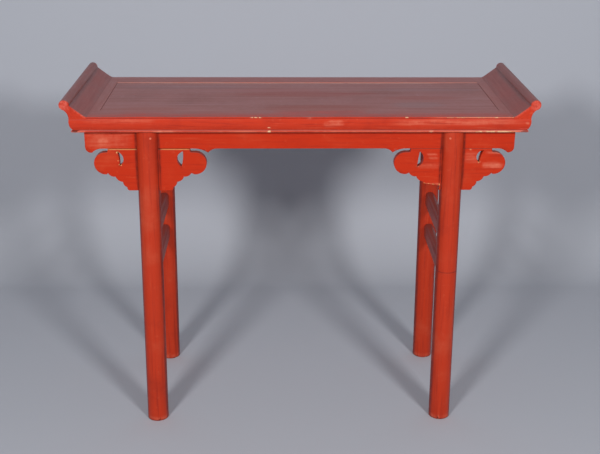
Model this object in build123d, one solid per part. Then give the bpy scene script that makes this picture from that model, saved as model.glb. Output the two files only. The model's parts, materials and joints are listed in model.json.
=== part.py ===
from build123d import *
import os
from math import atan, degrees

# A recessed-leg altar table. X runs along the table, Y from its front to its back, Z up.
# The origin is on the floor under the middle of the top. All sizes are in millimetres.

# Top frame: two long rails and two end rails, mitred at the corners
table_height = 846.0  # floor to the frame's top face
frame_length = 1116.0  # between the crests of the end mouldings
frame_depth = 435.0  # between the crests of the front and rear mouldings
frame_thickness = 39.5
rail_width = 66.0

# Moulded edge: insets measured in from its crest, heights stacked down from the top face
lip_inset = 1.0
lip_height = 2.4
lip_round = 0.7
quirk_inset = 2.5
quirk_height = 1.6
bulge_height = 27.0
bulge_top_inset = 0.8
bulge_foot_inset = 5.2
bulge_crest_drop = 9.5  # from the quirk down to the crest
recess_inset = 6.6
recess_height = 2.2
bead_inset = 4.2
bead_foot_inset = 6.2

# Mitre tenons of the long rails
mitre_tenon_thickness = 12.0
mitre_tenon_width = 30.0
mitre_tenon_drop = 17.0  # from the top face to the tenon
mitre_tenon_edge = 19.5  # from the front crest to the tenon
mitre_tenon_cover = 10.0  # wood left beyond the tenon's end

# Floating panel of two boards, and its battens
panel_thickness = 12.0
panel_drop = 1.0  # below the frame's top face
panel_seam_y = 18.0
panel_gap = 0.4  # round the panel's body
tongue_thickness = 6.0
tongue_length = 8.0
tongue_shoulder = 3.5  # from the panel's face to its tongue
groove_spare = 1.0  # depth left for the panel to swell
seam_tongue_thickness = 4.0
seam_tongue_length = 5.0
batten_spacing = 250.0
batten_width = 36.0
batten_height = 18.0  # below the panel
dovetail_height = 4.0
dovetail_root = 22.0
dovetail_flare = 3.0  # wider by this at each side of its crest
batten_tenon_width = 20.0
batten_tenon_thickness = 12.0
batten_tenon_length = 18.0

# Upturned end flanges, measured in and up from the end crest at the frame's top face
flange_foot_in = 43.0
flange_seat = 5.0  # depth of the rebate that it sits in
flange_face_inset = 0.5
cove_in = 33.0  # where the cove at the foot runs out into the slope
cove_rise = 5.8
roll_radius = 12.4
roll_out = 8.6
roll_rise = 29.1
roll_start = 185.0  # degrees round the roll, where the slope meets it
roll_turn = 266.5
neck_dip = 3.0
neck_round = 2.0
flange_chamfer = 0.8  # round the flange's end faces
flange_tongue_in = 19.0
flange_tongue_width = 8.0
flange_tongue_depth = 8.0
flange_tongue_stop = 40.0  # from each end of the flange

# Legs
leg_diameter = 55.6
leg_setback_x = 182.3  # from the end moulding's crest in to the leg axis, at the frame
leg_setback_y = 39.8  # from the front moulding's crest in to the leg axis
leg_splay = 6.1  # how much further out each foot is, along X
foot_chamfer = 1.2
leg_tenon_height = 24.0
leg_tenon_thickness = 10.0
leg_tenon_width = 26.0
leg_tenon_cheek = 3.0  # from the slot to the tenon

# Aprons, clasped in the slots of the leg heads
apron_thickness = 18.0
apron_height = 48.0  # seen below the frame
apron_setback = 29.6  # from the end moulding's crest in to the apron's end
apron_housing = 4.0  # how far the aprons enter the frame
cusp_drop = 10.4  # of each cusp below the apron's straight edge
outer_cusp_in = 16.5  # from the apron's end
outer_corner_rise = 14.0  # from the outer cusp up to the straight end
outer_sweep = 24.0  # from the outer cusp in to the straight edge
inner_cusp_in = 148.2  # from the leg axis towards the table's middle
inner_sweep = 34.0  # from the inner cusp out to the straight edge
middle_sweep = 22.0  # from the inner cusp in to the straight edge
end_apron_height = 44.0
end_apron_tongue = 5.0
end_apron_tongue_thickness = 8.0
end_apron_tongue_stop = 5.0  # from the end apron's foot up to its tongues

# Cloud-shaped spandrels, two at each leg
spandrel_reach = {"outer": 133.5, "inner": 143.8}  # leg axis to lobe tip
spandrel_height = 107.8
spandrel_seam = 0.5
seam_gape = {"left": 1.7, "right": 0.0}  # how much further the old seams have opened
spandrel_meet = 0.2  # between the two inside a leg
lobe_radius = 28.4
slit_height = 9.2  # open between the apron and the lobe
slit_length = {"outer": 6.6, "inner": 12.0}  # from the lobe's middle in to the slit's end
slit_round = 4.0
curl_length = {"outer": 4.3, "inner": 9.9}  # how far the lobe curls past its lowest point
curl_rise = 3.8
scallop_widths = (18.5, 17.5, 10.0, 4.5)  # from the lobe to the foot
scallop_falls = (0.215, 0.292, 0.311, 0.182)  # shares of the height below the lobe
scallop_bow = 0.16  # of each scallop's own span
notch_round = 0.6  # between the scallops

# Crescent openings, cut by hand, so each is a little different: from the lobe's tip to the upper horn,
# then from the seam down to it
crescent_in = {"left_outer": 58.5, "left_inner": 57.8, "right_outer": 55.5, "right_inner": 63.3}
crescent_drop = {"left_outer": 8.0, "left_inner": 6.5, "right_outer": 4.5, "right_inner": 7.3}
crescent_height = {"left_outer": 35.5, "left_inner": 39.0, "right_outer": 31.0, "right_inner": 39.5}
crescent_lean = {"left_outer": 4.0, "left_inner": 4.5, "right_outer": 9.5, "right_inner": -5.5}
crescent_leg_bow = 12.5
crescent_lobe_bow = {"left_outer": 2.0, "left_inner": -2.0, "right_outer": 2.0, "right_inner": -0.5}

# Broken foot of the front right inner spandrel
break_drop = 96.0  # below the seam, where the spandrel leaves the leg
break_slope = 8.5  # degrees, rising away from the leg

# Side stretchers, two to a side
stretcher_width = 24.0
stretcher_height = 46.0
stretcher_flat = 3.0  # flat left on the stretcher's top and bottom
upper_stretcher_z = 506.0
lower_stretcher_z = 410.0
stretcher_tenon_width = 12.0
stretcher_tenon_height = 30.0
stretcher_tenon_length = 20.0

# Pegs through the leg heads
peg_diameter = 5.0
peg_drop = 17.5  # below the frame
peg_offset = 10.0  # from the leg axis towards the table's middle
peg_proud = 0.3

edge_round = 0.8  # softened edges of aprons and spandrels
fit = 0.1  # clearance round tenons and in grooves
peg_fit = 0.05
margin = 50.0  # how far the cutting solids run past what they cut

frame_bottom = table_height - frame_thickness
half_length = frame_length / 2
half_depth = frame_depth / 2
opening_x = half_length - rail_width
opening_y = half_depth - rail_width
panel_top = table_height - panel_drop
panel_bottom = panel_top - panel_thickness
tongue_top = panel_top - tongue_shoulder
tongue_bottom = tongue_top - tongue_thickness
flange_root = half_length - flange_foot_in
seat_z = table_height - flange_seat
leg_x = half_length - leg_setback_x
leg_y = half_depth - leg_setback_y
leg_radius = leg_diameter / 2
apron_edge = frame_bottom - apron_height
apron_end = half_length - apron_setback
inner_cusp_x = leg_x - inner_cusp_in
spandrel_top = apron_edge - spandrel_seam
spandrel_bottom = spandrel_top - spandrel_height
end_apron_x = apron_end - apron_thickness / 2
batten_places = {"left": -batten_spacing, "middle": 0.0, "right": batten_spacing}
stretcher_places = {"upper": upper_stretcher_z, "lower": lower_stretcher_z}
sides = {"left": -1, "right": 1}
faces = {"front": -1, "rear": 1}


def block(x, y, z):
    size = [high - low for low, high in (x, y, z)]
    middle = [(low + high) / 2 for low, high in (x, y, z)]
    return Pos(*middle) * Box(*size)


def around(middle, width, spare=0.0):
    return (middle - width / 2 - spare, middle + width / 2 + spare)


def outline(pieces):
    return make_face(Curve() + pieces)


def to_side(solid, side):
    return solid if sides[side] > 0 else mirror(solid, about=Plane.YZ)


def to_face(solid, face):
    return solid if faces[face] < 0 else mirror(solid, about=Plane.XZ)


def both_sides(*solids):
    return [*solids, *(mirror(solid, about=Plane.YZ) for solid in solids)]


def both_faces(*solids):
    return [*solids, *(mirror(solid, about=Plane.XZ) for solid in solids)]


def to_corner(solid, face, side):
    """Takes a piece of the front right corner to any of the four corners."""
    across = faces[face] > 0 and sides[side] < 0
    return Rot(0, 0, 180) * solid if across else to_face(to_side(solid, side), face)


def soften(solid, across, below):
    """Rounds the outer outline of the two flat faces that look along one axis, under a height."""
    flat = solid.faces().sort_by(across)
    outer = [edge for face in (flat[0], flat[-1]) for edge in face.outer_wire().edges()]
    return fillet([edge for edge in outer if edge.center().Z < below], edge_round)


# Frame rails


def edge_section():
    """Section of a rail: x is the inset from the crest, y the height over the floor."""
    lip_foot = table_height - lip_height
    quirk_foot = lip_foot - quirk_height
    crest = quirk_foot - bulge_crest_drop
    bulge_foot = quirk_foot - bulge_height
    recess_foot = bulge_foot - recess_height
    bead_middle = (recess_foot + frame_bottom) / 2
    above = Polyline(
        (rail_width, table_height),
        (lip_inset, table_height),
        (lip_inset, lip_foot),
        (quirk_inset, lip_foot),
        (quirk_inset, quirk_foot),
        (bulge_top_inset, quirk_foot),
    )
    bulge = ThreePointArc((bulge_top_inset, quirk_foot), (0, crest), (bulge_foot_inset, bulge_foot))
    bead_top = (recess_inset, recess_foot)
    bead_end = (bead_foot_inset, frame_bottom)
    recess = Polyline((bulge_foot_inset, bulge_foot), (recess_inset, bulge_foot), bead_top)
    bead = ThreePointArc(bead_top, (bead_inset, bead_middle), bead_end)
    back = Polyline(bead_end, (rail_width, frame_bottom), (rail_width, table_height))
    section = outline([above, bulge, recess, bead, back])
    section = fillet(section.vertices().sort_by_distance((lip_inset, table_height))[0], lip_round)
    groove_depth = tongue_length + groove_spare
    groove_height = tongue_thickness + 2 * fit
    groove = Pos(rail_width - groove_depth / 2, (tongue_top + tongue_bottom) / 2)
    return section - groove * Rectangle(groove_depth, groove_height)


def plan_prism(corners):
    prism = extrude(make_face(Polyline(*corners, close=True)), frame_thickness + 2 * margin)
    return Pos(0, 0, frame_bottom - margin) * prism


def mitre_tenon(spare):
    low = mitre_tenon_edge - half_depth
    top = table_height - mitre_tenon_drop
    x = (opening_x, half_length - mitre_tenon_cover + spare)
    y = (low - spare, low + mitre_tenon_width + spare)
    return block(x, y, (top - mitre_tenon_thickness - spare, top + spare))


def flange_seats():
    return both_sides(
        block(
            (flange_root, half_length + margin),
            (-half_depth - margin, half_depth + margin),
            (seat_z, table_height + margin),
        )
    )


def apron_housings():
    """What the aprons take out of the frame's underside."""
    z = (frame_bottom - margin, frame_bottom + apron_housing)
    long_one = block((-apron_end - fit, apron_end + fit), around(-leg_y, apron_thickness, fit), z)
    end_one = block(around(end_apron_x, apron_thickness, fit), (-leg_y, leg_y), z)
    return both_faces(long_one) + both_sides(end_one)


def front_rail():
    section = Pos(0, -half_depth, 0) * (Plane.YZ * edge_section())
    length = extrude(section, half_length, both=True)
    corners = [
        (-half_length, -half_depth),
        (half_length, -half_depth),
        (opening_x, -opening_y),
        (-opening_x, -opening_y),
    ]
    rail = length & plan_prism(corners)
    rail += both_sides(mitre_tenon(0.0))
    rail -= flange_seats() + apron_housings()
    rail -= both_sides(*leg_tenons(fit))
    for x in batten_places.values():
        rail -= batten_tenons(x, fit)
    return rail


def right_end_rail():
    section = mirror(Plane.XZ * edge_section(), about=Plane.YZ).moved(Location((half_length, 0, 0)))
    length = extrude(section, half_depth, both=True)
    corners = [
        (half_length, -half_depth),
        (half_length, half_depth),
        (opening_x, opening_y),
        (opening_x, -opening_y),
    ]
    rail = length & plan_prism(corners)
    rail -= both_faces(mitre_tenon(fit))
    rail -= flange_seats() + apron_housings()
    return rail - flange_tongue(fit)


# Panel and battens


def panel_board(face):
    """One of the two boards, with its tongues, its half of the seam and the batten housings."""
    reach_x = opening_x - panel_gap
    reach_y = opening_y - panel_gap
    inner, outer = panel_seam_y, faces[face] * reach_y
    tip = outer + faces[face] * (tongue_length + panel_gap)
    tongue_x = opening_x + tongue_length
    board = block((-reach_x, reach_x), sorted((inner, outer)), (panel_bottom, panel_top))
    board += block((-tongue_x, tongue_x), sorted((inner, tip)), (tongue_bottom, tongue_top))
    spare = fit if face == "rear" else 0.0
    z = around((tongue_top + tongue_bottom) / 2, seam_tongue_thickness, spare)
    y = (panel_seam_y, panel_seam_y + seam_tongue_length + spare)
    seam_tongue = block((-tongue_x, tongue_x), y, z)
    board = board + seam_tongue if face == "front" else board - seam_tongue
    for x in batten_places.values():
        board -= dovetail(x, fit)
    return board


def dovetail(x, spare):
    """The sliding dovetail along the top of a batten."""
    root = dovetail_root / 2 + spare
    crest = root + dovetail_flare
    top = panel_bottom + dovetail_height + spare
    corners = [(-root, panel_bottom - spare), (root, panel_bottom - spare), (crest, top), (-crest, top)]
    section = Plane.XZ * make_face(Polyline(*corners, close=True))
    return Pos(x, 0, 0) * extrude(section, opening_y + tongue_length + 2 * spare, both=True)


def batten_tenons(x, spare):
    z = around(panel_bottom - batten_height / 2, batten_tenon_thickness, spare)
    end = opening_y + batten_tenon_length + spare
    return block(around(x, batten_tenon_width, spare), (-end, end), z)


def batten(x):
    z = (panel_bottom - batten_height, panel_bottom)
    body = block(around(x, batten_width), (-opening_y, opening_y), z)
    above = (panel_bottom, table_height)
    between_rails = block(around(x, batten_width + margin), (-opening_y, opening_y), above)
    return body + (dovetail(x, 0.0) & between_rails) + batten_tenons(x, 0.0)


# End flanges


def flange_tongue(spare):
    reach = half_depth - flange_tongue_stop + spare
    x = around(half_length - flange_tongue_in, flange_tongue_width, spare)
    return block(x, (-reach, reach), (seat_z - flange_tongue_depth - spare, seat_z))


def right_flange():
    def at(inward, rise):
        return (half_length - inward, table_height + rise)

    foot = at(flange_foot_in, 0)
    cove_end = at(cove_in, cove_rise)
    roll = CenterArc(at(-roll_out, roll_rise), roll_radius, roll_start, -roll_turn)
    heel = at(flange_face_inset, -flange_seat)
    toe = at(flange_foot_in, -flange_seat)
    slope = Line(cove_end, roll @ 0)
    edge = [
        TangentArc(cove_end, foot, tangent=(slope % 0) * -1),
        slope,
        roll,
        SagittaArc(roll @ 1, heel, -neck_dip),
        Polyline(heel, toe, foot),
    ]
    section = outline(edge)
    throat = section.vertices().sort_by_distance(roll @ 1)[0]
    section = Plane.XZ * fillet(throat, neck_round)
    flange = extrude(section, half_depth - flange_face_inset, both=True)
    ends = flange.faces().sort_by(Axis.Y)
    outlines = ends[0].edges() + ends[-1].edges()
    shown = [edge for edge in outlines if edge.center().Z > table_height]
    return chamfer(shown, flange_chamfer) + flange_tongue(0.0)


# Aprons


def front_apron():
    top = frame_bottom + apron_housing
    cusp_z = apron_edge - cusp_drop
    outer_cusp_x = apron_end - outer_cusp_in
    end_foot = (apron_end, cusp_z + outer_corner_rise)
    outer_cusp = (outer_cusp_x, cusp_z)
    outer_root = (outer_cusp_x - outer_sweep, apron_edge)
    seam_root = (inner_cusp_x + inner_sweep, apron_edge)
    inner_cusp = (inner_cusp_x, cusp_z)
    middle_root = (inner_cusp_x - middle_sweep, apron_edge)
    half = [
        Line((apron_end, top), end_foot),
        TangentArc(end_foot, outer_cusp, tangent=(0, -1)),
        TangentArc(outer_root, outer_cusp, tangent=(1, 0)),
        Line(outer_root, seam_root),
        TangentArc(seam_root, inner_cusp, tangent=(-1, 0)),
        TangentArc(middle_root, inner_cusp, tangent=(1, 0)),
    ]
    other = [mirror(piece, about=Plane.YZ) for piece in half]
    across = [Line((-apron_end, top), (apron_end, top)), Line((-middle_root[0], apron_edge), middle_root)]
    board = extrude(Plane.XZ * outline(half + other + across), apron_thickness / 2, both=True)
    apron = Pos(0, -leg_y, 0) * soften(board, Axis.Y, frame_bottom)
    apron -= both_sides(end_apron_tongues(fit))
    return apron - both_sides(peg_rod(peg_fit))


def end_apron_tongues(spare):
    reach = leg_y - apron_thickness / 2 + end_apron_tongue + spare
    x = around(end_apron_x, end_apron_tongue_thickness, spare)
    low = frame_bottom - end_apron_height + end_apron_tongue_stop
    return block(x, (-reach, reach), (low - spare, frame_bottom + spare))


def right_end_apron():
    reach = leg_y - apron_thickness / 2
    z = (frame_bottom - end_apron_height, frame_bottom + apron_housing)
    board = block(around(end_apron_x, apron_thickness), (-reach, reach), z)
    return soften(board, Axis.X, frame_bottom) + end_apron_tongues(0.0)


# Spandrels


def spandrel_outline(side, place):
    """A spandrel's face: its lobe points along +X and its straight end is on the leg axis."""

    def at(inward, drop):
        return (spandrel_reach[place] - inward, spandrel_top - drop)

    lobe_middle = slit_height + lobe_radius
    lobe_foot = lobe_middle + lobe_radius
    slit_end = lobe_radius + slit_length[place]
    slit_corner = at(slit_end, slit_height)
    curl_end = (lobe_radius + curl_length[place], lobe_foot - curl_rise)
    root = (spandrel_meet / 2, spandrel_top - seam_gape[side])
    edge = [
        Polyline(root, at(slit_end, seam_gape[side]), slit_corner, at(lobe_radius, slit_height)),
        ThreePointArc(at(lobe_radius, slit_height), at(0, lobe_middle), at(lobe_radius, lobe_foot)),
        TangentArc(at(lobe_radius, lobe_foot), at(*curl_end), tangent=(-1, 0)),
    ]
    notches = []
    inward, drop = curl_end
    for width, share in zip(scallop_widths, scallop_falls):
        notches.append(at(inward, drop))
        inward += width
        drop += share * (spandrel_height - curl_end[1])
        scallop = Line(notches[-1], at(inward, drop))
        edge.append(SagittaArc(scallop @ 0, scallop @ 1, scallop_bow * scallop.length))
    edge.append(Polyline(at(inward, drop), (root[0], spandrel_bottom), root))
    face = outline(edge)
    face = fillet([face.vertices().sort_by_distance(notch)[0] for notch in notches], notch_round)
    return fillet(face.vertices().sort_by_distance(slit_corner)[0], slit_round)


def crescent(side, place):
    name = f"{side}_{place}"
    upper = (spandrel_reach[place] - crescent_in[name], spandrel_top - crescent_drop[name])
    lower = (upper[0] - crescent_lean[name], upper[1] - crescent_height[name])
    leg_side = SagittaArc(upper, lower, -crescent_leg_bow)
    return outline([leg_side, SagittaArc(lower, upper, crescent_lobe_bow[name])])


def front_right_spandrel(side, place):
    """A spandrel of either side, as it would stand at the front right leg."""
    section = Plane.XZ * (spandrel_outline(side, place) - crescent(side, place))
    if place == "inner":
        section = mirror(section, about=Plane.YZ)
    board = extrude(section, apron_thickness / 2, both=True)
    return Pos(leg_x, -leg_y, 0) * soften(board, Axis.Y, frame_bottom)


def broken_foot():
    """What is missing outside the leg, under the break of the front right inner spandrel."""
    waste = block((-spandrel_height, 0), around(0, apron_thickness + margin), (-spandrel_height, 0))
    corner = Pos(leg_x - leg_radius, -leg_y, spandrel_top - break_drop)
    return corner * Rot(0, break_slope, 0) * waste


# Legs, stretchers and pegs


def leg_round(radius):
    """The round of the front right leg, along its splayed axis and past both its ends."""
    lean = degrees(atan(leg_splay / frame_bottom))
    length = frame_bottom + 2 * margin
    rod = Pos(0, 0, length / 2 - margin - frame_bottom) * Cylinder(radius, length)
    return Pos(leg_x, -leg_y, frame_bottom) * Rot(0, -lean, 0) * rod


def leg_axis_x(z):
    return leg_x + leg_splay * (frame_bottom - z) / frame_bottom


def leg_tenons(spare):
    """The twin tenons of the front right leg, one on each cheek of its slot."""
    inner = apron_thickness / 2 + leg_tenon_cheek
    x = around(leg_x, leg_tenon_width, spare)
    z = (frame_bottom, frame_bottom + leg_tenon_height + spare)
    y = (inner - spare, inner + leg_tenon_thickness + spare)
    return [block(x, (-leg_y + y[0], -leg_y + y[1]), z), block(x, (-leg_y - y[1], -leg_y - y[0]), z)]


def peg_rod(spare):
    z = frame_bottom - peg_drop
    rod = Rot(90, 0, 0) * Cylinder(peg_diameter / 2 + spare, leg_diameter + margin)
    return Pos(leg_x - peg_offset, -leg_y, z) * rod


def front_right_leg():
    wide = leg_diameter + leg_splay + margin
    cut_to_length = block(around(leg_x, wide), around(-leg_y, wide), (0, frame_bottom))
    leg = leg_round(leg_radius) & cut_to_length
    leg = chamfer(leg.edges().sort_by(Axis.Z)[0], foot_chamfer)
    slot = block(
        around(leg_x, wide),
        around(-leg_y, apron_thickness, fit),
        (spandrel_bottom, frame_bottom + margin),
    )
    leg = leg - slot
    leg += leg_tenons(0.0)
    for z in stretcher_places.values():
        leg -= stretcher_tenons(z, fit)
    return leg - peg_rod(peg_fit)


def stretcher_tenons(z, spare):
    reach = leg_y - leg_radius + stretcher_tenon_length + spare
    x = around(leg_axis_x(z), stretcher_tenon_width, spare)
    return block(x, (-reach, reach), around(z, stretcher_tenon_height, spare))


def right_stretcher(z):
    corner = (stretcher_width - stretcher_flat) / 2
    section = Plane.XZ * RectangleRounded(stretcher_width, stretcher_height, corner)
    rod = Pos(leg_axis_x(z), 0, z) * extrude(section, leg_y, both=True)
    return rod - both_faces(leg_round(leg_radius)) + stretcher_tenons(z, 0.0)


def leg_pegs():
    peg = peg_rod(0.0) & leg_round(leg_radius + peg_proud)
    corners = [to_corner(peg, face, side) for face in faces for side in sides]
    return Compound([solid for corner in corners for solid in corner.solids()])


nodes = {}
for face in faces:
    nodes[f"{face}_long_rail"] = to_face(front_rail(), face)
    nodes[f"{face}_panel_board"] = panel_board(face)
    nodes[f"{face}_apron"] = to_face(front_apron(), face)
for side in sides:
    nodes[f"{side}_end_rail"] = to_side(right_end_rail(), side)
    nodes[f"{side}_flange"] = to_side(right_flange(), side)
    nodes[f"{side}_end_apron"] = to_side(right_end_apron(), side)
    for level, z in stretcher_places.items():
        nodes[f"{side}_{level}_stretcher"] = to_side(right_stretcher(z), side)
    for face in faces:
        nodes[f"{face}_{side}_leg"] = to_corner(front_right_leg(), face, side)
        for place in spandrel_reach:
            spandrel = front_right_spandrel(side, place)
            nodes[f"{face}_{side}_{place}_spandrel"] = to_corner(spandrel, face, side)
for place, x in batten_places.items():
    nodes[f"{place}_batten"] = batten(x)
nodes["front_right_inner_spandrel"] -= broken_foot()
nodes["leg_pegs"] = leg_pegs()

os.makedirs("parts", exist_ok=True)
for name, shape in nodes.items():
    export_step(shape, f"parts/{name}.step")
    print(name, len(shape.solids()), round(shape.volume))
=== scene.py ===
import json
from math import ceil, cos, pi, radians, sin

import bmesh
import bpy
from mathutils import Matrix, Vector

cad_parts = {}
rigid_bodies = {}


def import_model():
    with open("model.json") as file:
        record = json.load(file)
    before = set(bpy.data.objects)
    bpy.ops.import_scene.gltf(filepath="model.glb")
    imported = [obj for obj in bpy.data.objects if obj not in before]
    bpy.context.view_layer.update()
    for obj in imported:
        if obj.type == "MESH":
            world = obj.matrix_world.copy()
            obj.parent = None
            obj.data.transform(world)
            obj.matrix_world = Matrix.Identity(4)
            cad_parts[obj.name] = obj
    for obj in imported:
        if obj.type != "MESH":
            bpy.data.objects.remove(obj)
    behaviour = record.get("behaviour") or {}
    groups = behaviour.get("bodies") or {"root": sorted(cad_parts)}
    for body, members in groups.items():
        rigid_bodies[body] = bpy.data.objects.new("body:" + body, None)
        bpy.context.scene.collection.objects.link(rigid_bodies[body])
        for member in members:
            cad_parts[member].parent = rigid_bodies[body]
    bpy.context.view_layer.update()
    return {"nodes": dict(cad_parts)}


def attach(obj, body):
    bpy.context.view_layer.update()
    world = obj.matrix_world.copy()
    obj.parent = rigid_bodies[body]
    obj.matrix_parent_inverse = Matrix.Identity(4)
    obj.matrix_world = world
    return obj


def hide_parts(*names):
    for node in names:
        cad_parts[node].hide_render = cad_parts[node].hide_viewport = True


for startUpObject in list(bpy.data.objects):
    bpy.data.objects.remove(startUpObject)

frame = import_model()
nodes = frame["nodes"]
scene = bpy.context.scene
scene.view_settings.view_transform = "Standard"
print("frame loaded:", len(nodes), "nodes")


# Small helpers for node trees

def tone(red, green, blue):  # a screen colour, 0 to 255, as a linear one
    return tuple((value / 255 + 0.055) ** 2.4 / 1.055 ** 2.4 for value in (red, green, blue)) + (1.0,)


def addNode(tree, kind, inputs=None, **settings):  # an input is a value or another node's output
    made = tree.nodes.new(kind)
    for key, value in settings.items():
        setattr(made, key, value)
    for key, value in (inputs or {}).items():
        if isinstance(value, bpy.types.NodeSocket):
            tree.links.new(value, made.inputs[key])
        else:
            made.inputs[key].default_value = value
    return made


def maths(tree, operation, *values, clamp=False):
    inputs = dict(enumerate(values))
    return addNode(tree, "ShaderNodeMath", inputs, operation=operation, use_clamp=clamp).outputs[0]


def vectorMaths(tree, operation, *values):
    return addNode(tree, "ShaderNodeVectorMath", dict(enumerate(values)), operation=operation).outputs


def times(tree, vector, factor):
    return vectorMaths(tree, "MULTIPLY", vector, factor)["Vector"]


def spread(tree, value, low, high, newLow=0.0, newHigh=1.0):  # a soft step between two values
    inputs = {"Value": value, "From Min": low, "From Max": high, "To Min": newLow, "To Max": newHigh}
    return addNode(tree, "ShaderNodeMapRange", inputs, interpolation_type="SMOOTHSTEP").outputs[0]


def mixColour(tree, share, first, second):
    inputs = {0: share, 6: first, 7: second}
    return addNode(tree, "ShaderNodeMix", inputs, data_type="RGBA", clamp_factor=True).outputs[2]


def noise(tree, place, scale, detail, roughness=0.55, seed=0.0):
    inputs = {"Vector": place, "W": seed, "Scale": scale, "Detail": detail, "Roughness": roughness}
    return addNode(tree, "ShaderNodeTexNoise", inputs, noise_dimensions="4D").outputs[0]


def newGroup(name, kind, inputs, outputs):  # returns the tree, what goes into it and what comes out
    tree = bpy.data.node_groups.new(name, kind)
    for direction, sockets in (("INPUT", inputs), ("OUTPUT", outputs)):
        for label, socketType in sockets.items():
            tree.interface.new_socket(label, in_out=direction, socket_type="NodeSocket" + socketType)
    return tree, tree.nodes.new("NodeGroupInput").outputs, tree.nodes.new("NodeGroupOutput").inputs


def fillOutputs(tree, sockets, **values):
    for label, value in values.items():
        tree.links.new(value, sockets[label])


def useGroup(tree, name, inputs):
    return addNode(tree, "ShaderNodeGroup", inputs, node_tree=bpy.data.node_groups[name]).outputs


# Shader groups that the finishes on the table share

texture = {  # a pair gives the values between which something fades in
    "darkClouds": (0.48, 0.25), "paleClouds": (0.52, 0.78),
    "darkGrain": (0.5, 0.3), "paleGrain": (0.56, 0.76),
    "speckScale": 95.0, "specks": (0.58, 0.8),
    "grainRelief": 0.7, "speckRelief": 0.3,
    "dustFacing": (0.3, 0.98), "dustPatchScale": 7.0, "dustPatches": (0.2, 0.75), "thinnestDust": 0.78,
    "raggedScale": 420.0, "raggedness": 0.55, "undercoatShows": (0.3, 0.48), "woodShows": (0.5, 0.66),
    # patches of the grime and of the painted shade in creases
    "grimeScale": 60.0, "grimePatches": (0.3, 0.6), "thinnestGrime": 0.55,
    "stainStretch": (9.0, 160.0, 160.0), "stainEdge": (1.0, 0.5),
}


def buildLacquerTone():
    inputs = {"Place": "Vector", "Stretch": "Vector", "Colour": "Color", "Deep": "Color", "Pale": "Color",
              "Cloud Scale": "Float", "Cloud Share": "Float", "Grain Share": "Float", "Seed": "Float"}
    outputs = {"Colour": "Color", "Relief": "Float"}
    tree, given, made = newGroup("lacquerTone", "ShaderNodeTree", inputs, outputs)
    clouds = noise(tree, given["Place"], given["Cloud Scale"], 5.0, 0.6, given["Seed"])
    along = times(tree, given["Place"], given["Stretch"])
    grain = noise(tree, along, 1.0, 6.0, 0.62, given["Seed"])
    specks = noise(tree, given["Place"], texture["speckScale"], 4.0, 0.6)
    colour = given["Colour"]
    for pattern, fade, share, tint in (
        (clouds, "darkClouds", "Cloud Share", "Deep"), (clouds, "paleClouds", "Cloud Share", "Pale"),
        (grain, "darkGrain", "Grain Share", "Deep"), (grain, "paleGrain", "Grain Share", "Pale"),
        (specks, "specks", "Cloud Share", "Pale"),
    ):
        mask = maths(tree, "MULTIPLY", spread(tree, pattern, *texture[fade]), given[share])
        colour = mixColour(tree, mask, colour, given[tint])
    grainPart = maths(tree, "MULTIPLY", grain, texture["grainRelief"])
    speckPart = maths(tree, "MULTIPLY", specks, texture["speckRelief"])
    fillOutputs(tree, made, Colour=colour, Relief=maths(tree, "ADD", grainPart, speckPart))


def buildSettledDust():
    inputs = {"Colour": "Color", "Dust": "Color", "Upward": "Float", "Share": "Float", "Place": "Vector"}
    outputs = {"Colour": "Color", "Mask": "Float"}
    tree, given, made = newGroup("settledDust", "ShaderNodeTree", inputs, outputs)
    facing = spread(tree, given["Upward"], *texture["dustFacing"])
    uneven = noise(tree, given["Place"], texture["dustPatchScale"], 6.0, 0.65)
    patches = spread(tree, uneven, *texture["dustPatches"], texture["thinnestDust"], 1.0)
    mask = maths(tree, "MULTIPLY", maths(tree, "MULTIPLY", facing, patches), given["Share"], clamp=True)
    fillOutputs(tree, made, Colour=mixColour(tree, mask, given["Colour"], given["Dust"]), Mask=mask)


def buildWornThrough():
    inputs = {"Colour": "Color", "Undercoat": "Color", "Bare Wood": "Color", "Worn": "Float",
              "Place": "Vector"}
    outputs = {"Colour": "Color", "Mask": "Float"}
    tree, given, made = newGroup("wornThrough", "ShaderNodeTree", inputs, outputs)
    ragged = maths(tree, "SUBTRACT", noise(tree, given["Place"], texture["raggedScale"], 4.0, 0.65), 0.5)
    worn = maths(tree, "ADD", given["Worn"], maths(tree, "MULTIPLY", ragged, texture["raggedness"]))
    rubbed = spread(tree, worn, *texture["undercoatShows"])
    bare = spread(tree, worn, *texture["woodShows"])
    colour = mixColour(tree, rubbed, given["Colour"], given["Undercoat"])
    colour = mixColour(tree, bare, colour, given["Bare Wood"])
    fillOutputs(tree, made, Colour=colour, Mask=bare)


# Darkens where the cranny mark is: grime, and painted shade in creases and beside parts
def buildGrimeAndPaintedShade():
    inputs = {"Colour": "Color", "Grime": "Color", "Cranny": "Float", "Place": "Vector"}
    tree, given, made = newGroup("oldGrime", "ShaderNodeTree", inputs, {"Colour": "Color"})
    patches = noise(tree, given["Place"], texture["grimeScale"], 4.0)
    uneven = spread(tree, patches, *texture["grimePatches"], texture["thinnestGrime"], 1.0)
    mask = maths(tree, "MULTIPLY", given["Cranny"], uneven, clamp=True)
    fillOutputs(tree, made, Colour=mixColour(tree, mask, given["Colour"], given["Grime"]))


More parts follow.
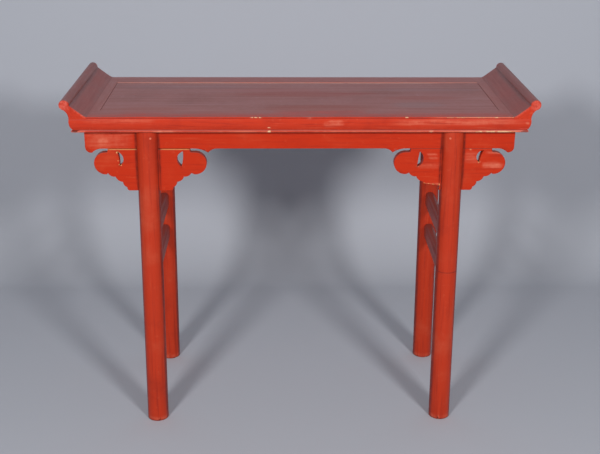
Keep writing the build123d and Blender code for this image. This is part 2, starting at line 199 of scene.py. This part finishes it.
def buildLongStain():  # an oval stain that follows the grain
    inputs = {"Colour": "Color", "Stain": "Color", "Place": "Vector", "Centre": "Vector", "Reach": "Vector",
              "Share": "Float"}
    tree, given, made = newGroup("longStain", "ShaderNodeTree", inputs, {"Colour": "Color"})
    away = vectorMaths(tree, "SUBTRACT", given["Place"], given["Centre"])["Vector"]
    scaled = vectorMaths(tree, "DIVIDE", away, given["Reach"])["Vector"]
    length = vectorMaths(tree, "LENGTH", scaled)["Value"]
    ragged = noise(tree, times(tree, given["Place"], texture["stainStretch"]), 1.0, 4.0, 0.6)
    edge = maths(tree, "ADD", length, maths(tree, "SUBTRACT", ragged, 0.5))
    mask = maths(tree, "MULTIPLY", spread(tree, edge, *texture["stainEdge"]), given["Share"])
    fillOutputs(tree, made, Colour=mixColour(tree, mask, given["Colour"], given["Stain"]))


buildLacquerTone()
buildSettledDust()
buildWornThrough()
buildGrimeAndPaintedShade()
buildLongStain()
print("shader groups built")


# Finishes

grainAlong = {  # how finely the grain varies in X, Y and Z, coarsest along the wood
    "X": (10.0, 170.0, 170.0), "Y": (170.0, 10.0, 170.0), "Z": (150.0, 150.0, 6.0), "top": (2.6, 75.0, 75.0),
}
commonFinish = {
    "cloudScale": 8.0, "cloudShare": 0.45, "grainShare": 0.5,
    "dust": tone(166, 102, 97),
    "faded": tone(226, 132, 104),
    "undercoat": tone(212, 124, 88),
    "bareWood": tone(236, 184, 140),
    # the colour of grime, and of painted shade in creases, beside the legs and down their sides
    "grime": tone(72, 16, 8),
    "roughness": 0.36, "roughnessSwing": (0.05, -0.04), "bareRoughness": 0.3, "specular": 0.3,
    "relief": 0.00035, "reliefStrength": 0.8, "reliefRange": (0.35, 0.65), "bareDepth": 1.5,
    "streaks": (0.4, 0.6, 0.25, 1.3),  # how the grain breaks up what hands have rubbed
    "stains": [],
    "below": None, "belowFacing": (-0.4, -0.8), "belowShare": 0.85,  # a colour for faces that look down
    "lining": None, "liningDust": (0.5, 1.5), "liningFacing": (0.8, 0.3),  # and a paler dust colour for dusty walls, a painted highlight where the lamps in front light them
}


def makeFinish(name, look):
    material = bpy.data.materials.new(name)
    material.use_nodes = True
    tree = material.node_tree
    tree.nodes.clear()
    place = tree.nodes.new("ShaderNodeTexCoord").outputs["Object"]
    normal = tree.nodes.new("ShaderNodeNewGeometry").outputs["Normal"]
    upward = addNode(tree, "ShaderNodeSeparateXYZ", {0: normal}).outputs["Z"]
    mark = {label: addNode(tree, "ShaderNodeAttribute", attribute_name=label).outputs["Fac"]
            for label in ("worn", "cranny", "rubbed", "dusted", "wiped")}
    base = useGroup(tree, "lacquerTone", {
        "Place": place, "Stretch": grainAlong[look["grain"]], "Colour": look["colour"], "Deep": look["deep"],
        "Pale": look["pale"], "Cloud Scale": look["cloudScale"], "Cloud Share": look["cloudShare"],
        "Grain Share": look["grainShare"], "Seed": look["seed"],
    })
    shade = base["Colour"]
    if look["below"]:
        downward = spread(tree, upward, *look["belowFacing"], 0.0, look["belowShare"])
        shade = mixColour(tree, downward, shade, look["below"])
    for centre, reach, stain, share in look["stains"]:
        shade = useGroup(tree, "longStain", {
            "Colour": shade, "Stain": stain, "Place": place, "Centre": centre, "Reach": reach, "Share": share,
        })["Colour"]
    streaks = spread(tree, base["Relief"], *look["streaks"])
    shade = mixColour(tree, maths(tree, "MULTIPLY", mark["rubbed"], streaks), shade, look["faded"])
    left = maths(tree, "SUBTRACT", 1.0, maths(tree, "MULTIPLY", mark["wiped"], streaks), clamp=True)
    dust = look["dust"]
    # Dusty walls take a paler dust: a painted highlight on faces the lamps light
    if look["lining"]:
        wall = maths(tree, "MULTIPLY", spread(tree, mark["dusted"], *look["liningDust"]),
                     spread(tree, upward, *look["liningFacing"]))
        dust = mixColour(tree, wall, dust, look["lining"])
    dusty = useGroup(tree, "settledDust", {
        "Colour": shade, "Dust": dust, "Upward": maths(tree, "MAXIMUM", upward, mark["dusted"]),
        "Share": maths(tree, "MULTIPLY", left, look["dustShare"]), "Place": place,
    })
    # grime, and painted shade in creases, beside the legs and down the legs' sides
    grimyAndShaded = useGroup(tree, "oldGrime", {
        "Colour": dusty["Colour"], "Grime": look["grime"], "Cranny": mark["cranny"], "Place": place,
    })
    aged = useGroup(tree, "wornThrough", {
        "Colour": grimyAndShaded["Colour"], "Undercoat": look["undercoat"], "Bare Wood": look["bareWood"],
        "Worn": mark["worn"], "Place": place,
    })
    dull, shiny = [look["roughness"] + swing for swing in look["roughnessSwing"]]
    roughness = spread(tree, base["Relief"], *look["reliefRange"], dull, shiny)
    roughness = maths(tree, "ADD", roughness, maths(tree, "MULTIPLY", aged["Mask"], look["bareRoughness"]))
    bitten = maths(tree, "MULTIPLY", aged["Mask"], look["bareDepth"])
    bump = addNode(tree, "ShaderNodeBump", {
        "Height": maths(tree, "SUBTRACT", base["Relief"], bitten), "Distance": look["relief"],
        "Strength": look["reliefStrength"],
    })
    shader = addNode(tree, "ShaderNodeBsdfPrincipled", {
        "Base Color": aged["Colour"], "Roughness": roughness, "Normal": bump.outputs[0],
        "Specular IOR Level": look["specular"],
    })
    tree.links.new(shader.outputs[0], tree.nodes.new("ShaderNodeOutputMaterial").inputs["Surface"])
    return material


redTones = {"colour": tone(196, 50, 18), "deep": tone(152, 30, 14), "pale": tone(214, 96, 66)}
boardTones = {"colour": tone(188, 43, 7), "deep": tone(150, 28, 8), "pale": tone(206, 84, 50)}
legTones = {"colour": tone(187, 53, 25), "deep": tone(142, 36, 22), "pale": tone(200, 90, 62)}
# The top's dull purple-brown tones hold a painted glancing reflection over the red lacquer
topTonesWithReflection = {"colour": tone(172, 104, 99), "deep": tone(142, 74, 66), "pale": tone(184, 132, 132)}
washTones = {"colour": tone(118, 62, 44), "deep": tone(80, 40, 28), "pale": tone(142, 86, 62)}
pegTones = {"colour": tone(222, 112, 84), "deep": tone(190, 84, 60), "pale": tone(232, 146, 120)}
stretcherTones = {"colour": tone(152, 46, 30), "deep": tone(106, 28, 24), "pale": tone(180, 86, 70)}
topStains = [  # the centre and reach in metres, the stain's colour and its share
    ((0.01, 0.021, 0.845), (0.25, 0.032, 0.03), tone(162, 62, 48), 0.85),
    ((0.325, -0.02, 0.845), (0.13, 0.026, 0.03), tone(164, 68, 56), 0.8),
    ((0.045, -0.132, 0.845), (0.18, 0.05, 0.03), tone(164, 72, 54), 0.75),
    ((-0.38, -0.14, 0.845), (0.12, 0.034, 0.03), tone(168, 80, 64), 0.6),
    ((-0.06, 0.062, 0.845), (0.2, 0.022, 0.03), tone(176, 88, 86), 0.6),
    ((0.3, -0.092, 0.845), (0.09, 0.036, 0.02), tone(154, 118, 120), 0.55),
    ((-0.3, 0.1, 0.845), (0.24, 0.03, 0.02), tone(156, 112, 116), 0.5),
    ((0.34, 0.07, 0.845), (0.2, 0.024, 0.02), tone(152, 106, 108), 0.5),
]

looks = {
    "railLacquer": {
        **redTones, "grain": "X", "grainShare": 0.6, "dustShare": 0.95, "seed": 1.0,
        # a paler dust on the inner walls, a painted highlight line along the edges of the top
        "lining": tone(184, 136, 126),
    },
    "endRailLacquer": {**redTones, "grain": "Y", "dustShare": 0.95, "seed": 2.0},
    "flangeLacquer": {
        **redTones, "grain": "Y", "dustShare": 0.92, "seed": 9.0, "dust": tone(142, 90, 87),
        "faded": tone(228, 116, 102), "undercoat": tone(216, 128, 106), "bareWood": tone(226, 168, 146),
    },
    "boardLacquer": {
        **boardTones, "grain": "X", "grainShare": 0.45, "dustShare": 0.7, "roughness": 0.4, "seed": 3.0,
        "specular": 0.2, "undercoat": tone(214, 122, 72), "bareWood": tone(238, 176, 112),
    },
    "legLacquer": {
        **legTones, "grain": "Z", "cloudShare": 0.5, "grainShare": 0.55, "dustShare": 0.8, "roughness": 0.38,
        # a darker red for the legs' grime and painted shade
        "seed": 4.0, "specular": 0.2, "grime": tone(90, 28, 28),
    },
    "stretcherLacquer": {
        **stretcherTones, "grain": "Y", "dustShare": 0.7, "roughness": 0.4, "seed": 5.0,
        "dust": tone(130, 68, 62),
    },
    "panelLacquer": {
        **topTonesWithReflection, "grain": "top", "cloudScale": 4.0, "cloudShare": 0.8, "grainShare": 0.7, "dustShare": 0.3,
        "roughness": 0.38, "seed": 6.0, "stains": topStains, "faded": tone(222, 172, 160),
        "undercoat": tone(224, 170, 152), "bareWood": tone(234, 190, 170), "below": washTones["colour"],
    },
    "undersideWash": {
        **washTones, "grain": "Y", "cloudShare": 0.5, "grainShare": 0.6, "dustShare": 0.3, "roughness": 0.62,
        "seed": 7.0,
    },
    "pegEnd": {
        **pegTones, "grain": "Y", "cloudShare": 0.4, "grainShare": 0.3, "dustShare": 0.5, "roughness": 0.45,
        "seed": 8.0,
    },
}
finishes = {name: makeFinish(name, {**commonFinish, **look}) for name, look in looks.items()}
print("finishes made:", ", ".join(finishes))


# Ageing: a Geometry Nodes tree that planes a surface unevenly and nibbles its edges

wear = {  # a pair gives the values between which something fades in
    "patchScale": 0.12, "patchShare": 0.5,  # wide patches of more chips and fewer
    "rubbedEase": 0.35,  # how much sooner a rubbed place chips
    "chipped": (1.0, 1.12), "nearEdge": (0.12, 0.4), "rubbed": (0.5, 0.95),
}


def buildAgedSurface():
    inputs = {"Geometry": "Geometry", "Unevenness": "Float", "Plane Stroke": "Vector",
              "Nibble Depth": "Float", "Chip Scale": "Float", "Chip Share": "Float",
              "Grime Share": "Float", "Seed": "Float", "Finish": "Material"}
    tree, given, made = newGroup("agedSurface", "GeometryNodeTree", inputs, {"Geometry": "Geometry"})
    place = tree.nodes.new("GeometryNodeInputPosition").outputs[0]
    normal = tree.nodes.new("GeometryNodeInputNormal").outputs[0]

    def named(label):
        return addNode(tree, "GeometryNodeInputNamedAttribute", {"Name": label}, data_type="FLOAT").outputs[0]

    def blurred(value):
        return addNode(tree, "GeometryNodeBlurAttribute", {"Value": value, "Iterations": 1}).outputs[0]

    arris = named("arris")
    rubbed = named("rubbed")
    chips = noise(tree, place, given["Chip Scale"], 4.0, 0.6, given["Seed"])
    patchScale = maths(tree, "MULTIPLY", given["Chip Scale"], wear["patchScale"])
    patches = noise(tree, place, patchScale, 2.0, 0.5, given["Seed"])
    patchy = maths(tree, "ADD", chips, maths(tree, "MULTIPLY", patches, wear["patchShare"]))
    ease = maths(tree, "ADD", given["Chip Share"], maths(tree, "MULTIPLY", rubbed, wear["rubbedEase"]))
    chipped = spread(tree, maths(tree, "ADD", patchy, ease), *wear["chipped"])
    nearEdge = spread(tree, blurred(arris), *wear["nearEdge"])
    exposed = maths(tree, "MAXIMUM", nearEdge, spread(tree, rubbed, *wear["rubbed"]))
    worn = maths(tree, "MULTIPLY", chipped, exposed, clamp=True)
    stroke = noise(tree, times(tree, place, given["Plane Stroke"]), 1.0, 2.0, 0.5, given["Seed"])
    sunk = maths(tree, "MULTIPLY", stroke, given["Unevenness"])
    bitten = maths(tree, "MULTIPLY", maths(tree, "MULTIPLY", worn, arris), given["Nibble Depth"])
    inward = maths(tree, "MULTIPLY", maths(tree, "ADD", sunk, bitten), -1.0)
    offset = addNode(tree, "ShaderNodeVectorMath", {0: normal, "Scale": inward}, operation="SCALE").outputs[0]
    # concave edges and soiled marks darken: grime, and painted shade in creases, beside the legs and down
    # their sides
    cranny = maths(tree, "MULTIPLY", blurred(named("cranny")), given["Grime Share"])
    cranny = maths(tree, "MAXIMUM", cranny, named("soiled"))
    shape = given["Geometry"]
    for label, value in (("worn", worn), ("cranny", cranny)):
        stored = {"Geometry": shape, "Name": label, "Value": value}
        shape = addNode(tree, "GeometryNodeStoreNamedAttribute", stored,
                        data_type="FLOAT", domain="POINT").outputs[0]
    shape = addNode(tree, "GeometryNodeSetPosition", {"Geometry": shape, "Offset": offset}).outputs[0]
    shape = addNode(tree, "GeometryNodeRealizeInstances", {0: shape}).outputs[0]
    coated = {"Geometry": shape, "Material": given["Finish"]}
    fillOutputs(tree, made, Geometry=addNode(tree, "GeometryNodeSetMaterial", coated).outputs[0])
    return tree


agedSurface = buildAgedSurface()

meshing = {  # metres and radians
    "mergeWithin": 0.00001, "flatWithin": radians(0.4), "cutTolerance": 0.000001,
    "smoothBelow": radians(30), "sharpFrom": radians(18), "sharpOver": radians(45),
}
ageingInputs = {"Unevenness": "unevenness", "Plane Stroke": "stroke", "Nibble Depth": "nibble",
                "Chip Scale": "chipScale", "Chip Share": "chipShare", "Grime Share": "grimeShare"}


def setModifierInput(modifier, label, value):
    for item in modifier.node_group.interface.items_tree:
        if item.name == label and item.in_out == "INPUT":
            modifier[item.identifier] = value


def mergedCopy(nodeName):
    work = bmesh.new()
    work.from_mesh(nodes[nodeName].data)
    bmesh.ops.remove_doubles(work, verts=work.verts, dist=meshing["mergeWithin"])
    bmesh.ops.dissolve_limit(work, angle_limit=meshing["flatWithin"], verts=work.verts, edges=work.edges)
    return work


def cutAcross(work, steps, closeCuts):  # slices a mesh, so that its faces are short enough to age
    corners = [[vertex.co[i] for vertex in work.verts] for i in range(3)]
    for index, axis in enumerate("XYZ"):
        low, high = min(corners[index]), max(corners[index])
        direction = Vector([1.0 if i == index else 0.0 for i in range(3)])
        count = ceil((high - low) / steps[axis]) if axis in steps else 1
        places = [low + (high - low) * turn / count for turn in range(1, count)]
        for place in places + closeCuts.get(axis, []):
            bmesh.ops.bisect_plane(work, geom=work.verts[:] + work.edges[:] + work.faces[:],
                                   plane_co=direction * place, plane_no=direction,
                                   dist=meshing["cutTolerance"])


def markPlaces(work, name, places):  # a place is its centre and reach in millimetres, and a strength
    layer = work.verts.layers.float.new(name)
    for centre, reach, strength in places:
        for vertex in work.verts:
            steps = [abs(a * 1000 - b) / r for a, b, r in zip(vertex.co, centre, reach)]
            away = sum(step ** 4 for step in steps)
            vertex[layer] = max(vertex[layer], strength * (1.0 - away))


def markEdges(work):  # how sharp and how hollow each point is
    arris = work.verts.layers.float.new("arris")
    cranny = work.verts.layers.float.new("cranny")
    for edge in work.edges:
        if len(edge.link_faces) != 2:
            continue
        angle = edge.calc_face_angle_signed(0.0)
        edge.smooth = abs(angle) < meshing["smoothBelow"]
        layer = arris if angle > 0 else cranny
        sharpness = min(1.0, max(0.0, (abs(angle) - meshing["sharpFrom"]) / meshing["sharpOver"]))
        for vertex in edge.verts:
            vertex[layer] = max(vertex[layer], sharpness)


def agePiece(nodeName, settings):
    work = mergedCopy(nodeName)
    cutAcross(work, settings["slices"], settings["closeCuts"])
    bmesh.ops.triangulate(work, faces=[face for face in work.faces if len(face.verts) > 4])
    markEdges(work)
    # the soiled marks hold dirt, and painted shade down the legs' sides and beside them
    for name in ("rubbed", "soiled", "wiped"):
        markPlaces(work, name, settings[name].get(nodeName, []))
    markPlaces(work, "dusted", settings["dusted"])
    for face in work.faces:
        face.smooth = True
    words = nodeName.split("_")
    pieceName = words[0] + "".join(word.capitalize() for word in words[1:])
    mesh = bpy.data.meshes.new(pieceName)
    work.to_mesh(mesh)
    work.free()
    piece = bpy.data.objects.new(pieceName, mesh)
    scene.collection.objects.link(piece)
    modifier = piece.modifiers.new("ageing", "NODES")
    modifier.node_group = agedSurface
    for label, key in ageingInputs.items():
        setModifierInput(modifier, label, settings[key])
    setModifierInput(modifier, "Seed", float(sorted(nodes).index(nodeName)))
    setModifierInput(modifier, "Finish", finishes[settings["finish"]])
    bpy.context.view_layer.update()
    graph = bpy.context.evaluated_depsgraph_get()
    aged = bpy.data.meshes.new_from_object(piece.evaluated_get(graph), depsgraph=graph)
    piece.modifiers.remove(modifier)
    piece.data = aged
    aged.name = pieceName
    bpy.data.meshes.remove(mesh)
    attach(piece, "root")
    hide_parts(nodeName)
    return piece


# The table's pieces. Slices and close cuts are in metres, and the marks in millimetres.

sides = {"left": -1, "right": 1}
topHeight = 846
lipFace, bulgeFace, beadFace = -216.7, -217, -213.3  # the front of the long rail at three heights
lipHeight, beadHeight = 845, 808.5
apronFace = -186.7  # the front of the apron and the front spandrels

commonAgeing = {
    "unevenness": 0.00018, "stroke": (9.0, 9.0, 9.0), "nibble": 0.0007, "chipScale": 90.0, "chipShare": 0.1,
    "grimeShare": 0.8, "rubbed": {}, "soiled": {}, "wiped": {}, "dusted": [], "closeCuts": {},
    "slot": "red_lacquer",
}
longRails = {
    **commonAgeing, "pieces": ["front_long_rail", "rear_long_rail"], "finish": "railLacquer",
    "slices": {"X": 0.0035}, "stroke": (6.0, 40.0, 40.0), "grimeShare": 0.35,
    "closeCuts": {"Y": [-0.2152, -0.2135, -0.205, -0.19, -0.172, 0.162, 0.2135]},
    # on the long rails the walls' dust is paler, a painted highlight
    "dusted": [((0, 0, topHeight), (5000, 200, 14), 6.0)],  # the inner walls, which are as dull as the top
    "wiped": {
        "front_long_rail": [  # where hands and sleeves keep the red bare
            ((0, bulgeFace, topHeight), (640, 34, 12), 1.1),
            ((50, -180, topHeight), (120, 60, 12), 0.7),
            ((-385, -206, topHeight), (70, 36, 12), 0.95),
            ((430, -206, topHeight), (90, 28, 12), 0.8),
        ],
        # the rear rail's inner wall has less dust, part of a painted highlight line along the back of the top
        "rear_long_rail": [((0, 155, topHeight), (520, 9, 12), 0.24)],
    },
    "rubbed": {"front_long_rail": [
        *[((x, lipFace, lipHeight), (3.5, 2.5, 2.5), 1.0) for x in (-118, -109, -99)],  # chips along the lip
        *[((x, lipFace, lipHeight), (4.5, 2.5, 2.5), 1.0) for x in (256, 473)],
        ((20, lipFace, 844), (5, 2.5, 3.5), 0.7),
        ((430, lipFace, 845.5), (118, 2.5, 2.5), 0.72),
        ((-77, beadFace, 809), (6, 6, 4), 1.0),  # chips along the bead
        ((-77, -216, 819), (3.8, 3, 2.5), 0.95),
        ((316, beadFace, 809), (6, 6, 4), 0.9),
        ((0, beadFace, beadHeight), (560, 6, 3.5), 0.3),
        ((468, beadFace, beadHeight), (95, 6, 4), 0.78),
        ((-536, beadFace, beadHeight), (18, 6, 3.5), 0.6),
        ((-330, beadFace, beadHeight), (34, 6, 3.5), 0.66),
        ((70, bulgeFace, 827), (17, 5, 8), 0.3),  # scuffs on the bulge
        ((84, bulgeFace, 831), (21, 5, 9), 0.34),
        # paler bands along the top of the bulge: rubbing, and a painted highlight
        ((380, bulgeFace, 833), (170, 5, 7), 0.32),
        ((-440, bulgeFace, 836), (90, 5, 5), 0.22),
        ((548, -216, 832), (4.5, 5, 3.5), 0.66),
    ]},
}
endRails = {
    **commonAgeing, "pieces": ["left_end_rail", "right_end_rail"], "finish": "endRailLacquer",
    "slices": {"Y": 0.006}, "stroke": (40.0, 6.0, 40.0), "grimeShare": 0.35,
    "dusted": [((0, 0, topHeight), (545, 5000, 14), 6.0)],
    "rubbed": {f"{side}_end_rail": [((sign * 553.7, 0, beadHeight), (6, 220, 3.5), 0.42)]
               for side, sign in sides.items()},
}
endFlanges = {
    **commonAgeing, "pieces": ["left_flange", "right_flange"], "finish": "flangeLacquer",
    "slices": {"X": 0.005, "Y": 0.007, "Z": 0.005}, "stroke": (40.0, 6.0, 40.0), "chipShare": 0.0,
    "closeCuts": {"Y": [-0.2155, -0.2135, 0.2135, 0.2155]},
    "dusted": [((sign * 556, 0, 877), (8, 218, 14), 6.0) for sign in sides.values()],  # the roll's inner side
    "soiled": {f"{side}_flange": [((sign * 554, 0, 873.5), (2.5, 216.5, 2.5), 0.5)]  # the groove below it
               for side, sign in sides.items()},
    "rubbed": {f"{side}_flange": [
        *[((sign * (520 + 5 * turn), -217.5, 849 + 3.9 * turn), (4.5, 2.5, 3.5), 0.46) for turn in range(6)],
        ((sign * 567, -217, 876), (14, 4, 15), 0.42),  # the roll's end
    ] for side, sign in sides.items()},
}
panelBoards = {
    **commonAgeing, "pieces": ["front_panel_board", "rear_panel_board"], "finish": "panelLacquer",
    "slices": {"X": 0.012, "Y": 0.006}, "stroke": (3.0, 22.0, 22.0), "unevenness": 0.0003, "grimeShare": 0.4,
    "slot": "top_lacquer",
    # paler lines along the panel's back and front edges: rubbing, and a painted highlight on the edges
    "rubbed": {"rear_panel_board": [((0, 150, 845), (510, 9, 9), 1.15)],
               "front_panel_board": [((0, -151.1, 845), (497, 5, 9), 0.35)]},
}
legSides = (347.5, 404.5)  # where the apron meets a leg, from the middle of the table
# Dirt, and painted shade on the apron and spandrels beside each leg, where the leg shades them
grimeAndShadeBesideLegs = [((sign * x, apronFace, 735), (2.8, 12, 92), 0.85) for sign in sides.values() for x in legSides]
legCuts = [sign * (x + step) / 1000
           for sign in sides.values() for x in legSides for step in (-2.5, 0.0, 2.5)]
aprons = {
    **commonAgeing, "pieces": ["front_apron", "rear_apron"], "finish": "boardLacquer",
    "slices": {"X": 0.006, "Z": 0.006}, "stroke": (6.0, 30.0, 30.0), "closeCuts": {"X": legCuts},
    "soiled": {"front_apron": grimeAndShadeBesideLegs},
    "rubbed": {"front_apron": [
        ((-470, apronFace, 784), (62, 12, 30), 0.2),
        ((-484, apronFace, 778), (14, 12, 11), 0.45),
    ]},
}
endAprons = {
    **commonAgeing, "pieces": ["left_end_apron", "right_end_apron"], "finish": "stretcherLacquer",
    "slices": {"Y": 0.008, "Z": 0.008}, "stroke": (30.0, 6.0, 30.0),
}
spandrels = {
    **commonAgeing, "pieces": [name for name in sorted(nodes) if name.endswith("spandrel")],
    "finish": "boardLacquer", "slices": {"X": 0.005, "Z": 0.005}, "stroke": (8.0, 30.0, 30.0),
    "closeCuts": {"X": legCuts, "Z": [0.7548, 0.7558]},
    "soiled": {f"front_{side}_{place}_spandrel": grimeAndShadeBesideLegs
               for side in sides for place in ("inner", "outer")},
    "rubbed": {
        "front_left_outer_spandrel": [
            ((-440, apronFace, 757.4), (48, 12, 2.3), 1.25),  # the bare upper edges
            ((-449.7, apronFace, 748.5), (2.5, 12, 2), 0.7),  # chips at the tips of the crescents
            ((-444.8, apronFace, 718), (2.5, 12, 2), 0.7),
        ],
        "front_left_inner_spandrel": [
            ((-305, apronFace, 757.4), (52, 12, 2.3), 1.2),
            ((-294.5, apronFace, 717), (2.5, 12, 2), 0.7),
        ],
        "front_right_inner_spandrel": [
            ((338, apronFace, 663), (14, 12, 3), 0.66),  # the raw wood of the break
            ((316, apronFace, 666.5), (14, 12, 3), 0.66),
            ((292, apronFace, 713.4), (2.5, 12, 2), 0.75),
            ((326, apronFace, 743), (14, 12, 3.5), 0.36),
            ((330, apronFace, 733), (14, 12, 3.5), 0.3),
            ((318, apronFace, 716), (34, 12, 9), 0.16),
        ],
        "front_right_outer_spandrel": [
            ((480, apronFace, 747), (22, 12, 3.5), 0.5),
            ((478, apronFace, 715), (28, 12, 9), 0.44),
            ((425, apronFace, 735), (20, 12, 16), 0.22),
            ((443, apronFace, 724), (2.5, 12, 2), 0.7),
            ((420, apronFace, 756), (3.5, 12, 3), 0.75),
        ],
    },
}
legFeet = {f"{face}_{side}_leg": (sign * 382, y)
           for face, y in (("front", -177.7), ("rear", 177.7)) for side, sign in sides.items()}
legRadius, legLean = 28, 130  # a leg leans inwards by 1 mm in this many


# Painted shade: darker bands down both sides of each leg, where the lamps in front light it less
def paintedLegSideShade(x, y):  # down the two sides of a leg
    inwards = -1 if x > 0 else 1
    return [((x + inwards * z / legLean + side * legRadius, y, z), (5.5, 24, 200), 0.7)
            for z in (130, 390, 650) for side in (-1, 1)]


legs = {
    **commonAgeing, "pieces": [name for name in sorted(nodes) if name.endswith("_leg")],
    "finish": "legLacquer", "slices": {"Z": 0.008}, "stroke": (30.0, 30.0, 5.0), "unevenness": 0.0004,
    "closeCuts": {"Z": [0.002, 0.005, 0.43, 0.4315, 0.433]},
    "rubbed": {name: [((x, y, 4), (40, 40, 12), 0.25)] for name, (x, y) in legFeet.items()},
    # dirt on the feet, and painted shade down the legs' sides
    "soiled": {name: [((x, y, 0), (40, 40, 5), 0.6), *paintedLegSideShade(x, y)] for name, (x, y) in legFeet.items()},
}
legs["soiled"]["front_right_leg"].append(((378, -177.7, 431.5), (40, 40, 1.6), 1.0))  # a crack all round
stretchers = {
    **commonAgeing, "pieces": [name for name in sorted(nodes) if name.endswith("stretcher")],
    "finish": "stretcherLacquer", "slices": {"Y": 0.008}, "stroke": (30.0, 6.0, 30.0),
}
battens = {
    **commonAgeing, "pieces": [name for name in sorted(nodes) if name.endswith("batten")],
    "finish": "undersideWash", "slices": {"Y": 0.01}, "stroke": (30.0, 6.0, 30.0), "slot": "underside_wood",
}
pegs = {
    **commonAgeing, "pieces": ["leg_pegs"], "finish": "pegEnd", "slices": {"Y": 0.01}, "unevenness": 0.0,
    "nibble": 0.0002, "slot": "peg_wood",
}

for family in (longRails, endRails, endFlanges, panelBoards, aprons, endAprons, spandrels, legs, stretchers,
               battens, pegs):
    triangles = 0
    for nodeName in family["pieces"]:
        piece = agePiece(nodeName, family)
        triangles += sum(len(face.vertices) - 2 for face in piece.data.polygons)
    print("aged", ", ".join(family["pieces"]), "with", triangles, "triangles")


# Studio: a pale sweep, two soft lamps in front and a soft world

studio = {
    "halfWidth": 7.0, "front": -7.0, "bendStart": 0.66, "bendRadius": 0.28, "wallTop": 4.0, "bendFaces": 24,
    "colour": tone(189, 192, 200), "roughness": 0.9,
    "lampPlaces": [(-1.4, -3.2, 2.05), (1.5, -3.2, 2.05)], "lampAim": (0.0, 0.0, 0.5), "lampSize": 0.6,
    "lampPower": 65.5, "worldColour": tone(196, 200, 208), "worldStrength": 0.235,
    "groundColour": tone(166, 169, 177), "groundStrength": 1.0,  # what the camera sees beyond the sweep
}
camera = {  # metres, radians and millimetres
    "place": (-0.05818, -2.67043, 1.49868), "turn": 0.0233, "tilt": 0.3641, "roll": -0.0058,
    "lens": 63.0, "sensor": 36.0,
}


def buildSweep():
    profile = [(studio["front"], 0.0)]
    for step in range(studio["bendFaces"] + 1):
        turn = pi / 2 * step / studio["bendFaces"]
        profile.append((studio["bendStart"] + studio["bendRadius"] * sin(turn),
                        studio["bendRadius"] * (1 - cos(turn))))
    profile.append((studio["bendStart"] + studio["bendRadius"], studio["wallTop"]))
    corners = [(side * studio["halfWidth"], y, z) for y, z in profile for side in (-1, 1)]
    faces = [(2 * i, 2 * i + 1, 2 * i + 3, 2 * i + 2) for i in range(len(profile) - 1)]
    mesh = bpy.data.meshes.new("studioSweep")
    mesh.from_pydata(corners, [], faces)
    for face in mesh.polygons:
        face.use_smooth = True
    sweep = bpy.data.objects.new("studioSweep", mesh)
    scene.collection.objects.link(sweep)
    material = bpy.data.materials.new("studioCloth")
    material.use_nodes = True
    tree = material.node_tree
    tree.nodes.clear()
    colours = {"Base Color": studio["colour"], "Roughness": studio["roughness"]}
    cloth = addNode(tree, "ShaderNodeBsdfPrincipled", colours).outputs[0]
    clear = tree.nodes.new("ShaderNodeBsdfTransparent").outputs[0]
    behind = tree.nodes.new("ShaderNodeNewGeometry").outputs["Backfacing"]
    seen = tree.nodes.new("ShaderNodeLightPath").outputs["Is Camera Ray"]
    hidden = maths(tree, "MULTIPLY", behind, seen)  # from behind, the camera looks through the sweep
    mixed = addNode(tree, "ShaderNodeMixShader", {0: hidden, 1: cloth, 2: clear}).outputs[0]
    tree.links.new(mixed, tree.nodes.new("ShaderNodeOutputMaterial").inputs["Surface"])
    mesh.materials.append(material)


def buildLights():
    for index, place in enumerate(studio["lampPlaces"]):
        lamp = bpy.data.lights.new(f"softLamp{index}", "AREA")
        lamp.shape = "DISK"
        lamp.size = studio["lampSize"]
        lamp.energy = studio["lampPower"]
        aim = Vector(studio["lampAim"]) - Vector(place)
        holder = bpy.data.objects.new(f"softLamp{index}", lamp)
        holder.location = place
        holder.rotation_euler = aim.to_track_quat("-Z", "Y").to_euler()
        holder.visible_camera = False
        scene.collection.objects.link(holder)


def buildWorld():
    world = bpy.data.worlds.new("softRoom")
    world.use_nodes = True
    tree = world.node_tree
    tree.nodes.clear()
    room, ground = [
        addNode(tree, "ShaderNodeBackground", {0: studio[part + "Colour"], 1: studio[part + "Strength"]})
        for part in ("world", "ground")
    ]
    seen = tree.nodes.new("ShaderNodeLightPath").outputs["Is Camera Ray"]
    mixed = addNode(tree, "ShaderNodeMixShader", {0: seen, 1: room.outputs[0], 2: ground.outputs[0]})
    tree.links.new(mixed.outputs[0], tree.nodes.new("ShaderNodeOutputWorld").inputs["Surface"])
    scene.world = world


def buildCamera():
    lens = bpy.data.cameras.new("viewpoint")
    lens.lens = camera["lens"]
    lens.sensor_fit = "HORIZONTAL"
    lens.sensor_width = camera["sensor"]
    viewpoint = bpy.data.objects.new("viewpoint", lens)
    turned = Matrix.Rotation(-camera["turn"], 4, "Z") @ Matrix.Rotation(pi / 2 - camera["tilt"], 4, "X")
    rolled = Matrix.Rotation(-camera["roll"], 4, "Z")
    viewpoint.matrix_world = Matrix.Translation(camera["place"]) @ turned @ rolled
    scene.collection.objects.link(viewpoint)
    scene.camera = viewpoint


buildSweep()
buildLights()
buildWorld()
buildCamera()
print("studio ready")
